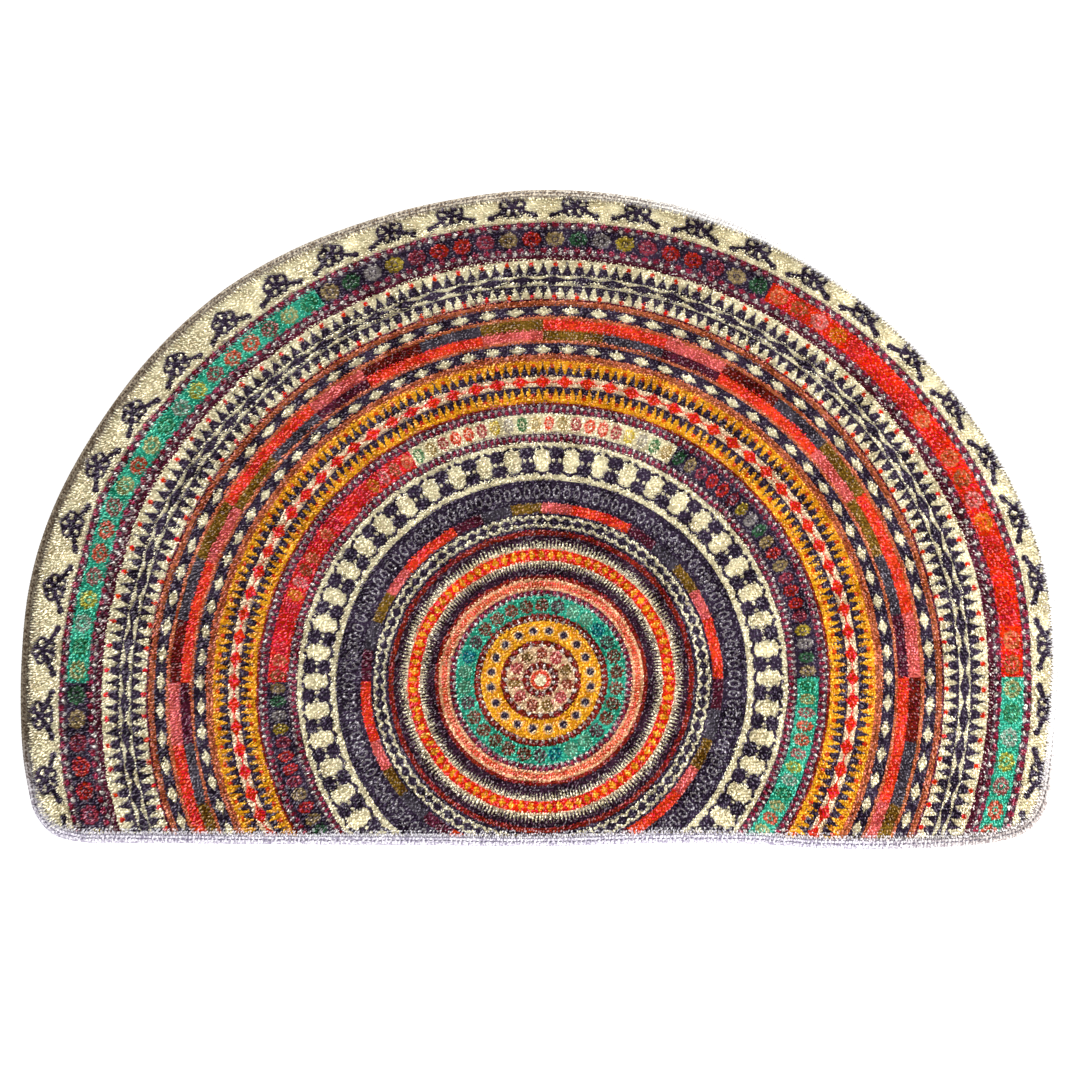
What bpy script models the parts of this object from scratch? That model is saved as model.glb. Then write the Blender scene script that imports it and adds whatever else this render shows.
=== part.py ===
"""Half-moon rug: a printed pile cloth and the overlocked binding round its rim, lying flat.

Metres, +Z up. The long side lies along X and the straight front edge faces -Y.
The origin is on the floor, under the middle of the rug's box.
"""
import math

import bmesh
import bpy
import numpy as np

MM = 0.001

# Thicknesses, all in mm
PILE_THICKNESS = 9.0
SHOULDER = 2.4
SHOULDER_STEPS = 3
CLOTH_THICKNESS = 2.0
BINDING_WIDTH = 7.0
BINDING_WALL = 0.8
BINDING_ROUND = 1.2
GAP = 0.3

# The cut edge of the cloth sits inside the binding, so it is lifted by the binding's lower leg
CLOTH_LOW = BINDING_WALL + GAP
CLOTH_HIGH = CLOTH_LOW + CLOTH_THICKNESS
BINDING_TOP = CLOTH_HIGH + GAP + BINDING_WALL

# Round side of the rim, seen from the centre of the printed rings: bearing in degrees, reach in mm
ROUND_RIM = (
    (-9, 366.5),
    (2, 369.5),
    (12, 374.0),
    (23, 373.0),
    (35, 371.0),
    (48, 370.8),
    (62, 371.5),
    (76, 371.2),
    (90, 371.9),
    (102, 372.3),
    (112, 375.0),
    (121, 379.5),
    (130, 383.0),
    (141, 383.8),
    (152, 384.0),
    (161, 385.2),
    (169, 384.0),
    (178, 380.2),
    (187, 379.0),
)

# Front corners and front edge, left to right, from the same centre: x, y in mm
FRONT_RIM = (
    (-371.0, -73.0),
    (-364.5, -94.0),
    (-351.0, -109.0),
    (-331.0, -114.8),
    (-300.0, -115.6),
    (-238.0, -116.4),
    (-170.0, -117.2),
    (-90.0, -117.6),
    (0.0, -118.8),
    (80.0, -116.6),
    (150.0, -117.2),
    (192.0, -120.2),
    (240.0, -121.0),
    (285.0, -119.6),
    (318.0, -116.4),
    (339.0, -110.0),
    (351.0, -98.0),
    (357.5, -82.0),
)
POINTS_PER_SPAN = 6

COLOURS = {
    "rug_pile": (0.36, 0.21, 0.17),
    "edge_binding": (0.42, 0.38, 0.33),
}
CLOTH_ROUGHNESS = 0.95


# Outline

def closed_curve(knots):
    """Points of a smooth closed curve through the knots, with each span weighted by its length."""
    points = []
    count = len(knots)
    for i in range(count):
        p0, p1, p2, p3 = (knots[(i + k) % count] for k in (-1, 0, 1, 2))
        t0, t1, t2, t3 = np.cumsum([0.0] + [math.dist(a, b) ** 0.5 for a, b in ((p0, p1), (p1, p2), (p2, p3))])
        for t in np.linspace(t1, t2, POINTS_PER_SPAN, endpoint=False):
            a1 = ((t1 - t) * p0 + (t - t0) * p1) / (t1 - t0)
            a2 = ((t2 - t) * p1 + (t - t1) * p2) / (t2 - t1)
            a3 = ((t3 - t) * p2 + (t - t2) * p3) / (t3 - t2)
            b1 = ((t2 - t) * a1 + (t - t0) * a2) / (t2 - t0)
            b2 = ((t3 - t) * a2 + (t - t1) * a3) / (t3 - t1)
            points.append(((t2 - t) * b1 + (t - t1) * b2) / (t2 - t1))
    return np.array(points)


def rug_rim():
    """The rug's outermost edge, anticlockwise, with the middle of its box on the origin."""
    knots = [np.array([reach * math.cos(math.radians(b)), reach * math.sin(math.radians(b))])
             for b, reach in ROUND_RIM]
    knots += [np.array(row) for row in FRONT_RIM]
    points = closed_curve(knots)
    return points - (points.min(axis=0) + points.max(axis=0)) / 2


def moved_in(points, distance):
    """The outline moved inwards, square to itself."""
    along = np.roll(points, -1, axis=0) - np.roll(points, 1, axis=0)
    along /= np.linalg.norm(along, axis=1)[:, None]
    inward = np.stack([-along[:, 1], along[:, 0]], axis=1)
    return points + inward * distance


# Blender tools

def curve_object(name, points, collection):
    """A flat closed curve through points given in mm."""
    curve = bpy.data.curves.new(name, "CURVE")
    curve.dimensions = "2D"
    spline = curve.splines.new("POLY")
    spline.points.add(len(points) - 1)
    for point, (x, y) in zip(spline.points, points):
        point.co = (x * MM, y * MM, 0, 1)
    spline.use_cyclic_u = True
    obj = bpy.data.objects.new(name, curve)
    collection.objects.link(obj)
    return obj


def mesh_from_curve(curve_obj, collection):
    """Turns a curve object into a mesh object of the same name, with its caps joined on."""
    bpy.context.view_layer.update()
    evaluated = curve_obj.evaluated_get(bpy.context.evaluated_depsgraph_get())
    mesh = bpy.data.meshes.new_from_object(evaluated)
    place = curve_obj.matrix_world.copy()
    name = curve_obj.name
    bpy.data.objects.remove(curve_obj)
    bm = bmesh.new()
    bm.from_mesh(mesh)
    bmesh.ops.remove_doubles(bm, verts=bm.verts, dist=MM / 100)
    bmesh.ops.recalc_face_normals(bm, faces=bm.faces)
    bm.to_mesh(mesh)
    bm.free()
    obj = bpy.data.objects.new(name, mesh)
    obj.matrix_world = place
    collection.objects.link(obj)
    return obj


def plate(name, points, low, high, collection):
    """A flat plate of the given outline between two heights in mm."""
    curve_obj = curve_object(name, points, collection)
    curve_obj.data.fill_mode = "BOTH"
    curve_obj.data.extrude = (high - low) / 2 * MM
    curve_obj.location.z = (high + low) / 2 * MM
    return mesh_from_curve(curve_obj, collection)


def round_top_edge(obj, top, width, steps):
    """Rounds the edge where the walls meet the top face."""
    bm = bmesh.new()
    bm.from_mesh(obj.data)
    lift = obj.matrix_world.translation.z
    rim = [e for e in bm.edges
           if all(abs(v.co.z + lift - top * MM) < MM / 100 for v in e.verts)
           and any(abs(f.normal.z) < 0.5 for f in e.link_faces)]
    bmesh.ops.bevel(bm, geom=rim, offset=width * MM, segments=steps, profile=0.5, affect="EDGES")
    bm.to_mesh(obj.data)
    bm.free()


def join_solids(obj, other):
    """Makes one solid of two by a Boolean modifier on the first; the other becomes a cutter."""
    union = obj.modifiers.new("union", "BOOLEAN")
    union.operation = "UNION"
    union.solver = "EXACT"
    union.object = other
    other.hide_render = True
    other.display_type = "WIRE"


def give_material(obj):
    """Gives a sub-part its own cloth material."""
    material = bpy.data.materials.new(obj.name)
    material.use_nodes = True
    shader = material.node_tree.nodes["Principled BSDF"]
    shader.inputs["Base Color"].default_value = (*COLOURS[obj.name], 1)
    shader.inputs["Roughness"].default_value = CLOTH_ROUGHNESS
    shader.inputs["Metallic"].default_value = 0
    obj.data.materials.clear()
    obj.data.materials.append(material)


# Sub-parts

def make_pile(rim, parts, cutters):
    """The printed cloth: deep pile inside the binding and a thin cut edge that runs into it."""
    pile = plate("rug_pile", moved_in(rim, BINDING_WIDTH + GAP), 0, PILE_THICKNESS, parts)
    round_top_edge(pile, PILE_THICKNESS, SHOULDER, SHOULDER_STEPS)
    cut_edge = plate("cut_edge", moved_in(rim, BINDING_WALL + 2 * GAP), CLOTH_LOW, CLOTH_HIGH, cutters)
    join_solids(pile, cut_edge)
    give_material(pile)


def binding_section():
    """Section of the binding: x is the way in from the rim, y the height, in mm."""
    inside = BINDING_WALL + GAP
    corner = BINDING_ROUND * (1 - math.sqrt(0.5))
    return (
        (BINDING_WIDTH, 0),
        (BINDING_ROUND, 0),
        (corner, corner),
        (0, BINDING_ROUND),
        (0, BINDING_TOP - BINDING_ROUND),
        (corner, BINDING_TOP - corner),
        (BINDING_ROUND, BINDING_TOP),
        (BINDING_WIDTH, BINDING_TOP),
        (BINDING_WIDTH, BINDING_TOP - BINDING_WALL),
        (inside, BINDING_TOP - BINDING_WALL),
        (inside, BINDING_WALL),
        (BINDING_WIDTH, BINDING_WALL),
    )


def make_binding(rim, parts, cutters):
    """The overlocked binding: one section swept round the rim, wrapped over the cut edge."""
    section = curve_object("binding_section", binding_section(), cutters)
    path = curve_object("edge_binding", rim, parts)
    path.data.fill_mode = "NONE"
    path.data.bevel_mode = "OBJECT"
    path.data.bevel_object = section
    binding = mesh_from_curve(path, parts)
    bpy.data.objects.remove(section)
    give_material(binding)
    binding.data.shade_smooth()
    binding.data.set_sharp_from_angle(angle=math.radians(40))


def new_collection(name):
    collection = bpy.data.collections.new(name)
    bpy.context.scene.collection.children.link(collection)
    return collection


def main():
    for obj in list(bpy.data.objects):
        bpy.data.objects.remove(obj)
    parts = new_collection("half_moon_rug")
    cutters = new_collection("cutters")
    rim = rug_rim()
    make_pile(rim, parts, cutters)
    make_binding(rim, parts, cutters)


main()
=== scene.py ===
"""Half-moon rug of printed short-pile cloth with an overlocked binding, laid out as a Blender add-on.

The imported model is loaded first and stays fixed. Each operator below makes one group of pieces round it.
Lengths in the property groups and tables are in millimetres; meshes are in metres.
"""
import math

import bpy
import numpy as np
from bpy.props import FloatProperty, FloatVectorProperty, IntProperty, PointerProperty
from mathutils import Matrix, Vector


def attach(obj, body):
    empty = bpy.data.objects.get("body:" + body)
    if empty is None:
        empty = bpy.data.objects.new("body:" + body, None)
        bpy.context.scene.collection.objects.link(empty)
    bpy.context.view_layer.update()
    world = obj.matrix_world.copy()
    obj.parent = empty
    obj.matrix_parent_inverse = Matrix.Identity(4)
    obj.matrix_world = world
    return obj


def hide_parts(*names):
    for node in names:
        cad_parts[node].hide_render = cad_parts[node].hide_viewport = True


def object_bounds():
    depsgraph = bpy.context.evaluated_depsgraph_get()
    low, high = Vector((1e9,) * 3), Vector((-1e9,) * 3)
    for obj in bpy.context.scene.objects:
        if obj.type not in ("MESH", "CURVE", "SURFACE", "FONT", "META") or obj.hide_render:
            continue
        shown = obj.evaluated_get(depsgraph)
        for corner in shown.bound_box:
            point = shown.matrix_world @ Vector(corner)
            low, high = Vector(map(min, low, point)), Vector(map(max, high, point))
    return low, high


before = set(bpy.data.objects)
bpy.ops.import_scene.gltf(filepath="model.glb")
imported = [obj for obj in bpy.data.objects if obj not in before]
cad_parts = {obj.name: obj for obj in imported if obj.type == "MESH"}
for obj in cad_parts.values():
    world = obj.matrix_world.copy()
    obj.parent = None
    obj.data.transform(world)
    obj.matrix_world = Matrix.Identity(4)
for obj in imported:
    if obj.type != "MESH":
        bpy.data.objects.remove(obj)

bl_info = {
    "name": "Half-moon rug",
    "version": (1, 0, 0),
    "blender": (4, 5, 0),
    "location": "View3D > Sidebar > Rug",
    "description": "Makes the tufts, cloth and binding of a half-moon rug round its packed model",
    "category": "Object",
}

MM = 0.001
CAD_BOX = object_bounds()
PILE_NODE = "rug_pile"
BINDING_NODE = "edge_binding"

# Middle of the printed rings, measured from the left side and the front of the rug's box
PRINT_FROM_LEFT = 380.0
PRINT_FROM_FRONT = 121.0

# Printed rings from the middle outwards: outer radius in mm and dye
RINGS = (
    (4.1, "cream"),
    (6.9, "coral_ring"),
    (8.0, "blush"),
    (12.5, "bead_wine"),
    (24.2, "blush"),
    (28.8, "bead_wine"),
    (43.2, "yellow"),
    (47.9, "bead_wine"),
    (61.0, "teal"),
    (65.4, "bead_ground"),
    (67.4, "coral_edge"),
    (71.6, "coral_ring"),
    (73.6, "coral_edge"),
    (76.2, "dark_red"),
    (87.2, "wine_navy"),
    (95.8, "red"),
    (106.0, "wine_navy"),
    (109.4, "dark_red"),
    (111.8, "navy"),
    (120.6, "cream"),
    (122.8, "navy"),
    (130.4, "slate"),
    (147.6, "navy"),
    (176.0, "cream"),
    (182.4, "bead_ground"),
    (198.0, "navy"),
    (204.0, "bead_ground"),
    (206.0, "dark_red"),
    (218.4, "yellow"),
    (225.8, "pale_cream"),
    (237.6, "yellow"),
    (242.6, "rust"),
    (251.6, "navy"),
    (253.8, "rust"),
    (261.2, "coral"),
    (269.4, "olive"),
    (272.0, "rust"),
    (280.4, "navy"),
    (284.2, "rust"),
    (285.8, "purple"),
    (296.4, "cream"),
    (303.8, "navy"),
    (315.8, "cream"),
    (320.0, "purple"),
    (325.0, "bead_ground"),
    (339.8, "navy"),
    (345.6, "bead_ground"),
    (408.0, "cream"),
)

# Colour blocks of 10 degrees, by bearing from 0 to 60 and then repeated
BLOCKS_OUTER = ("pink", "coral", "coral", "olive", "slate", "maroon")
BLOCKS_INNER = ("purple", "slate", "olive", "pink", "coral", "coral")
BLOCKS_NARROW = ("coral", "coral", "pink", "olive", "slate", "purple")

# Ground of the two rosette borders, by bearing
ROSETTE_GROUND_STARTS = (0, 60, 120, 180, 300)
ROSETTE_GROUND_OUTER = ("red", "navy", "teal", "navy", "teal")
ROSETTE_GROUND_INNER = ("navy", "cream", "crimson", "navy", "teal")

# Rosettes of 3 degrees over 60, then repeated
ROSETTES = ("green", "khaki", "plum", "red", "red", "plum", "gold", "ash", "green", "khaki",
            "red", "khaki", "plum", "red", "red", "plum", "gold", "ash", "green", "khaki")

# Rosettes of 12 degrees over 120 in the teal ring, then repeated, and the three kinds round the middle
TEAL_ROSETTES = ("blue", "pale_teal", "pale_teal", "dusk", "brick", "brick", "brick", "brick", "brick",
                 "dusk")
SMALL_ROSETTES = ("olive", "plum", "dark_red")

# Middles of the patterned rows, as radii in mm
BEAD_ROWS = (11.0, 26.5, 45.6, 63.3, 179.4, 201.0, 322.6, 342.7)
SMALL_ROSETTE_ROW = 19.2
DOT_ROW = 36.1
TEAL_ROW = 54.6
STROKE_ROW = 70
LOZENGE_ROWS = (91.6, 116.3, 221.9, 246.6, 276.0)
BLOCK_ROWS = (126.4, 261.6)
CHAIN_ROW = 138.3
PAIR_ROW = 162.2
ROSETTE_ROWS = (190.2, 332.4)
TOOTH_ROWS = (222.2, 300.1)
CORD_ROWS = (240.1, 281.7)
FLECK_ROW = 318.6
BLOSSOM_ROW = 358.4

# Radii in mm: outside the first lie the outer rows, and inside the second the rosettes round the middle
FAR = 260
NEAR = 40

# Angles from one motif to the next, in degrees
STROKE_TURN = 1.5
ROSETTE_TURN = 3
TOOTH_TURN = 10 / 3
LOZENGE_TURN = 30 / 7
BLOSSOM_TURN = 7.5
BLOCK_TURN = 10
TEAL_TURN = 12
DOT_TURN = 18
SMALL_ROSETTE_TURN = 360 / 11

# Angles in degrees after which the blocks and rosettes repeat
BLOCK_REPEAT = 60
TEAL_REPEAT = 120

# Rows of beads from the middle outwards: first bearing and turn in degrees, and where they change, in mm
BEAD_TURNS = ((0, 30), (8, 18), (0, 6), (0, 30 / 7), (0, STROKE_TURN))
BEAD_CHANGES = (19, 36, 54, 120)

# How much the print is stretched outwards near the rim: bearing, mm
RIM_STRETCH = ((-90, 0.0), (-12, 0.0), (0, 1.4), (13, 5.3), (25, 4.0), (35, 2.0), (60, 0.4), (90, 0.0),
               (130, 2.9), (157, 10.0), (165, 5.8), (180, 5.0), (195, 5.3), (270, 5.3))

# Radii in mm between which that stretch grows
STRETCH_FROM = 281.0
STRETCH_TO = 343.0

# The renderer's ramps have 256 steps: of 0.4 mm for the rings, and such that blocks end on whole ones
RAMP_STEPS = 256
RING_SPAN = RAMP_STEPS * 0.4
BLOCK_SPAN = RAMP_STEPS * 0.25
SEGMENT_SPAN = RAMP_STEPS * 1.5
TEAL_SPAN = RAMP_STEPS * 0.5
RING_RAMPS = 4
RAMP_NUDGE = 1e-4

# How strongly single tufts get painted shade: their dye is raised to this power and then dimmed by this
# factor
STRAND_SHADE = 3.2
SHADE_POWER = 1.45
SHADE = (0.54, 0.5, 0.47, 1.0)

# How much brighter the tufts with a painted highlight are
HIGHLIGHT_GAIN = (2.2, 2.2, 2.2, 1.0)

# Width of one yarn of the woven back, in mm
YARN = 1.6

# Thread colours round the rim, by bearing from the print's middle: partly own greige, partly painted light,
# white where the light falls at the front and right, darker at the back left
BINDING_TONES = ((-90, "thread_front"), (-28, "thread_front"), (-20, "thread_corner"), (-14, "thread_corner"),
                 (-6, "thread_right"), (50, "thread_right"), (72, "thread_top_right"), (90, "thread_top"),
                 (118, "thread_top"), (135, "thread_top_left"), (152, "thread_left"),
                 (186, "thread_far_left"), (194, "thread_front"), (270, "thread_front"))
CHAIN_TONES = ((-90, "chain_front"), (-22, "chain_front"), (-14, "chain_top"), (-4, "chain_right"),
               (60, "chain_right"), (80, "chain_top"), (120, "chain_top"), (150, "chain_left"),
               (188, "chain_left"), (196, "chain_front"), (270, "chain_front"))
FLECK_SHADE_TONES = ((-90, "fleck_shade_front"), (-28, "fleck_shade_front"), (-18, "fleck_shade_corner"), (-13, "fleck_shade_corner"),
               (-4, "fleck_shade_right"), (60, "fleck_shade_right"), (85, "fleck_shade_left"), (188, "fleck_shade_left"),
               (196, "fleck_shade_front"), (270, "fleck_shade_front"))


# Properties

def length(name, default, low, high, description):
    """A length in millimetres."""
    return FloatProperty(name=name, description=description, default=default, min=low, max=high)


def dye(name, red, green, blue, description):
    """A colour given as the eye reads it, from 0 to 255."""
    return FloatVectorProperty(name=name, description=description, size=3, subtype="COLOR_GAMMA",
                               default=(red / 255, green / 255, blue / 255), min=0, max=1)


class RugPileSizes(bpy.types.PropertyGroup):
    """Sizes of the cloth and its tufts."""

    column: length("Column spacing", 1.08, 0.8, 4, "Distance between tufts along a row, mm")
    row: length("Row spacing", 2.05, 0.8, 4, "Distance between rows of tufts, mm")
    stray: length("Stray", 0.36, 0, 1, "How far a root sits from its place in the row, mm")
    body: length("Body height", 3.9, 2, 8, "Height of the closed lower part of the pile, mm")
    body_edge: length("Body edge", 2.6, 1, 6, "Height of that part at its outer edge, mm")
    root: length("Root depth", 0.8, 0, 3, "How deep the tufts' roots sit in the lower part, mm")
    tip: length("Tip height", 8.5, 4, 9, "Height of the tips above the floor, mm")
    tip_spread: length("Tip spread", 0.5, 0, 2, "How much the tips differ in height, mm")
    width: length("Tuft width", 0.63, 0.3, 2, "Half the width of a tuft at its thickest, mm")
    lean: length("Lean", 2.5, 0, 5, "How far the tips lean to the front, mm")
    toss: length("Toss", 0.8, 0, 3, "How far single tips stray from the common lean, mm")
    swirl: length("Swirl", 0.6, 0, 3, "How far patches of tips lean their own way, mm")
    splay: length("Splay", 2.3, 0, 4, "How far the outermost tips fan out over the binding, mm")
    inset: length("Pile inset", 7.9, 5, 12, "Distance from the rug's rim to the outermost roots, mm")
    cloth: length("Cloth thickness", 2.0, 0.5, 4, "Thickness of the cloth under the pile, mm")
    cloth_lift: length("Cut edge lift", 1.1, 0, 3, "Height of the cut edge inside the binding, mm")
    cloth_inset: length("Cut edge inset", 1.4, 0.5, 4, "Distance from the rim to the cloth's cut edge, mm")
    strips: IntProperty(name="Strips", description="Number of pieces that the pile is made in", default=5,
                        min=1, max=12)


class RugBindingSizes(bpy.types.PropertyGroup):
    """Sizes of the overlocked binding."""

    width: length("Width", 7.0, 4, 12, "Width of the binding, mm")
    height: length("Height", 4.1, 2, 6, "Height of the binding, mm")
    wall: length("Wall", 0.75, 0.3, 2, "Thickness of the laid threads, mm")
    wrap_pitch: length("Wrap pitch", 2.4, 1, 6, "Distance between the threads wrapped over the rim, mm")
    wrap_thread: length("Wrap thread", 0.34, 0.1, 1, "Half the thickness of a wrapped thread, mm")
    chain_pitch: length("Chain pitch", 3.3, 1, 8, "Distance between the links of the looper chain, mm")
    needle_pitch: length("Needle pitch", 2.9, 1, 8, "Distance between needle stitches, mm")


class RugDyes(bpy.types.PropertyGroup):
    """Colours of the print and of the threads."""

    cream: dye("Cream", 255, 249, 220, "Ground of the wide borders")
    blush: dye("Blush", 252, 225, 190, "Ground of the rosettes round the middle")
    pale_cream: dye("Pale cream", 255, 238, 208, "Ground of the lozenge stripe")
    navy: dye("Navy", 72, 58, 84, "Dark ground and blossoms")
    # Also the tint of the painted highlights on single tufts and on the outermost tips at the front and right
    fleck: dye("Fleck", 246, 244, 250, "Pale fibres in the navy")
    bead_ground: dye("Bead ground", 106, 78, 96, "Ground of the bead borders")
    bead_red: dye("Bead red", 176, 54, 92, "Round beads")
    bead_white: dye("Bead white", 236, 232, 226, "Pointed beads")
    teal: dye("Teal", 76, 206, 176, "Teal ring and border")
    pale_teal: dye("Pale teal", 140, 190, 164, "Faded rosettes in the teal ring")
    blue: dye("Blue", 8, 122, 142, "Blue patches in the teal ring")
    dusk: dye("Dusk", 120, 78, 96, "Dull purple rosettes in the teal ring")
    brick: dye("Brick", 150, 52, 46, "Brick rosettes in the teal ring")
    red: dye("Red", 244, 4, 8, "Strong red")
    coral: dye("Coral", 250, 62, 42, "Coral blocks")
    coral_ring: dye("Coral ring", 246, 84, 60, "Ring with radial strokes")
    coral_edge: dye("Coral edge", 255, 212, 172, "Pale edges of the coral ring")
    crimson: dye("Crimson", 236, 38, 64, "Crimson ground")
    dark_red: dye("Dark red", 164, 34, 30, "Thin dark red lines")
    pink: dye("Pink", 238, 118, 120, "Pink blocks")
    olive: dye("Olive", 150, 114, 42, "Olive blocks")
    slate: dye("Slate", 96, 90, 104, "Slate blocks")
    purple: dye("Purple", 112, 42, 70, "Purple blocks")
    maroon: dye("Maroon", 126, 14, 16, "Dark maroon blocks")
    plum: dye("Plum", 204, 76, 102, "Plum rosettes")
    rust: dye("Rust", 226, 132, 94, "Rust cords and lines")
    rust_dark: dye("Dark rust", 104, 36, 24, "Shadow strands of the cords")
    yellow: dye("Yellow", 255, 192, 46, "Yellow borders")
    green: dye("Green", 76, 146, 88, "Green rosettes")
    orange_red: dye("Orange red", 236, 84, 26, "Dots in the yellow borders")
    bright_yellow: dye("Bright yellow", 255, 190, 52, "Dots in the red ring")
    strong_red: dye("Strong red", 246, 14, 18, "Ovals on the lozenge stripe")
    gold: dye("Gold", 226, 198, 50, "Yellow rosettes")
    khaki: dye("Khaki", 216, 190, 130, "Dull cream rosettes")
    ash: dye("Ash", 204, 198, 192, "Grey-white rosettes")
    wine_navy: dye("Wine navy", 74, 42, 66, "Dark ground near the middle")
    bead_wine: dye("Bead wine", 122, 30, 30, "Ground of the innermost bead borders")
    back: dye("Back", 202, 190, 166, "Woven back of the cloth")
    # Painted shade in the gaps between the yarns of the back
    back_shade: dye("Back shade", 126, 112, 90, "Gaps between the yarns of the back")
    # Thread, chain and fleck dyes round the rim: partly the threads' own greige, partly painted light, white
    # at the front and right where the light falls, darker at the back left
    thread_front: dye("Thread front", 246, 243, 252, "Wound thread along the front")
    thread_corner: dye("Thread corner", 212, 206, 204, "Wound thread at the right front corner")
    # Painted light: the thread on the right side is pure white where the light falls strongest
    thread_right: dye("Thread right", 255, 255, 255, "Wound thread on the bleached right side")
    thread_top_right: dye("Thread top right", 250, 250, 248, "Wound thread right of the top")
    thread_top: dye("Thread top", 232, 222, 204, "Wound thread at the top")
    thread_top_left: dye("Thread top left", 202, 188, 166, "Wound thread left of the top")
    thread_left: dye("Thread left", 172, 158, 137, "Wound thread on the left")
    thread_far_left: dye("Thread far left", 141, 129, 111, "Wound thread at the left corner")
    chain_front: dye("Chain front", 128, 124, 142, "Chain stitches along the front")
    chain_right: dye("Chain right", 252, 252, 254, "Chain stitches on the right")
    chain_top: dye("Chain top", 120, 112, 112, "Chain stitches at the top")
    chain_left: dye("Chain left", 92, 76, 62, "Chain stitches on the left")
    # The fleck dyes also tint the painted shade in the grooves between the threads
    fleck_shade_front: dye("Fleck front", 160, 154, 172, "Tint of the flecks along the front")
    fleck_shade_corner: dye("Fleck corner", 164, 154, 154, "Tint of the flecks at the right front corner")
    fleck_shade_right: dye("Fleck right", 244, 244, 248, "Tint of the flecks on the right")
    fleck_shade_left: dye("Fleck left", 142, 126, 114, "Tint of the flecks on the left")
    floor: dye("Floor", 255, 255, 255, "Plain floor")


class RugStage(bpy.types.PropertyGroup):
    """Camera and lights."""

    lens: FloatProperty(name="Lens", description="Focal length, mm on a 36 mm sensor", default=85, min=20,
                        max=200)
    key: FloatProperty(name="Key light", description="Power of the key light", default=114, min=0, max=500,
                       unit="POWER")
    fill: FloatProperty(name="Fill light", description="Power of the fill light", default=6, min=0, max=500,
                        unit="POWER")
    sky: FloatProperty(name="Sky", description="Strength of the even light from all round", default=0.56,
                       min=0, max=5)


# Outline of the rug

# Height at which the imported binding's side turns upright, and how near to it a point of the rim lies, in mm
RIM_HEIGHT = 1.2
RIM_SLACK = 0.05

# Steps of the smooth line from one given point to the next
SPAN_POINTS = 12

# Points round the rim: for reading it, for finding the nearest one, and in the rings of the pieces
RIM_POINTS = 1200
NEAREST_POINTS = 2400
SLEEVE_POINTS = 760
BODY_POINTS = 400
CLOTH_POINTS = 444


def rim_points():
    """The rug's rim in mm, anticlockwise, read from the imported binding."""
    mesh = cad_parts[BINDING_NODE].data
    spots = np.zeros(len(mesh.vertices) * 3)
    mesh.vertices.foreach_get("co", spots)
    spots = spots.reshape(-1, 3) / MM
    outermost = spots[np.abs(spots[:, 2] - RIM_HEIGHT) < RIM_SLACK][:, :2]
    outermost = np.unique(np.round(outermost, 3), axis=0)
    return outermost[np.argsort(np.arctan2(outermost[:, 1], outermost[:, 0]))]


def smooth_ring(points, count):
    """The closed line through the points, drawn again with evenly spaced points."""
    before = np.roll(points, 1, axis=0)
    after = np.roll(points, -1, axis=0)
    beyond = np.roll(points, -2, axis=0)
    t = np.linspace(0, 1, SPAN_POINTS, endpoint=False)[None, :, None]
    p0, p1, p2, p3 = (p[:, None, :] for p in (before, points, after, beyond))
    dense = 0.5 * (2 * p1 + (p2 - p0) * t + (2 * p0 - 5 * p1 + 4 * p2 - p3) * t ** 2
                   + (3 * p1 - p0 - 3 * p2 + p3) * t ** 3)
    dense = dense.reshape(-1, 2)
    closed = np.vstack([dense, dense[:1]])
    along = np.concatenate([[0], np.cumsum(np.linalg.norm(np.diff(closed, axis=0), axis=1))])
    wanted = np.linspace(0, along[-1], count, endpoint=False)
    return np.stack([np.interp(wanted, along, closed[:, k]) for k in (0, 1)], axis=1)


def inward(points):
    """Unit vectors that point into the rug from each point of a ring."""
    along = np.roll(points, -1, axis=0) - np.roll(points, 1, axis=0)
    along /= np.linalg.norm(along, axis=1)[:, None]
    return np.stack([-along[:, 1], along[:, 0]], axis=1)


def ring_length(points):
    """Length of the closed line through the points."""
    return float(np.linalg.norm(np.roll(points, -1, axis=0) - points, axis=1).sum())


def print_centre():
    """Where the middle of the printed rings lies, in mm."""
    low = CAD_BOX[0]
    return np.array([low[0] / MM + PRINT_FROM_LEFT, low[1] / MM + PRINT_FROM_FRONT])


# Mesh tools

def mesh_object(name, spots, faces, corners):
    """A smooth mesh object from arrays: spots in mm, and faces that have the same number of corners."""
    mesh = bpy.data.meshes.new(name)
    mesh.vertices.add(len(spots))
    mesh.vertices.foreach_set("co", (np.asarray(spots) * MM).astype(np.float32).ravel())
    faces = np.asarray(faces).reshape(-1, corners)
    mesh.loops.add(faces.size)
    mesh.loops.foreach_set("vertex_index", faces.astype(np.int32).ravel())
    mesh.polygons.add(len(faces))
    mesh.polygons.foreach_set("loop_start", np.arange(0, faces.size, corners, dtype=np.int32))
    mesh.update(calc_edges=True)
    mesh.validate()
    mesh.polygons.foreach_set("use_smooth", np.ones(len(mesh.polygons), dtype=bool))
    obj = bpy.data.objects.new(name, mesh)
    bpy.context.scene.collection.objects.link(obj)
    return obj


def closed_form(name, loops, first, last):
    """A closed form from rings of points, from the first middle point out and round to the last one."""
    count = len(loops[0])
    spots = np.vstack(loops + [np.array([first, last])])
    this = np.arange(count)
    after = (this + 1) % count
    faces = []
    for k in range(len(loops) - 1):
        a, b = k * count, (k + 1) * count
        faces.append(np.stack([a + this, b + this, b + after], axis=1))
        faces.append(np.stack([a + this, b + after, a + after], axis=1))
    faces.append(np.stack([np.full(count, len(spots) - 2), this, after], axis=1))
    end = (len(loops) - 1) * count
    faces.append(np.stack([np.full(count, len(spots) - 1), end + after, end + this], axis=1))
    return mesh_object(name, spots, np.vstack(faces), 3), spots


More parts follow.
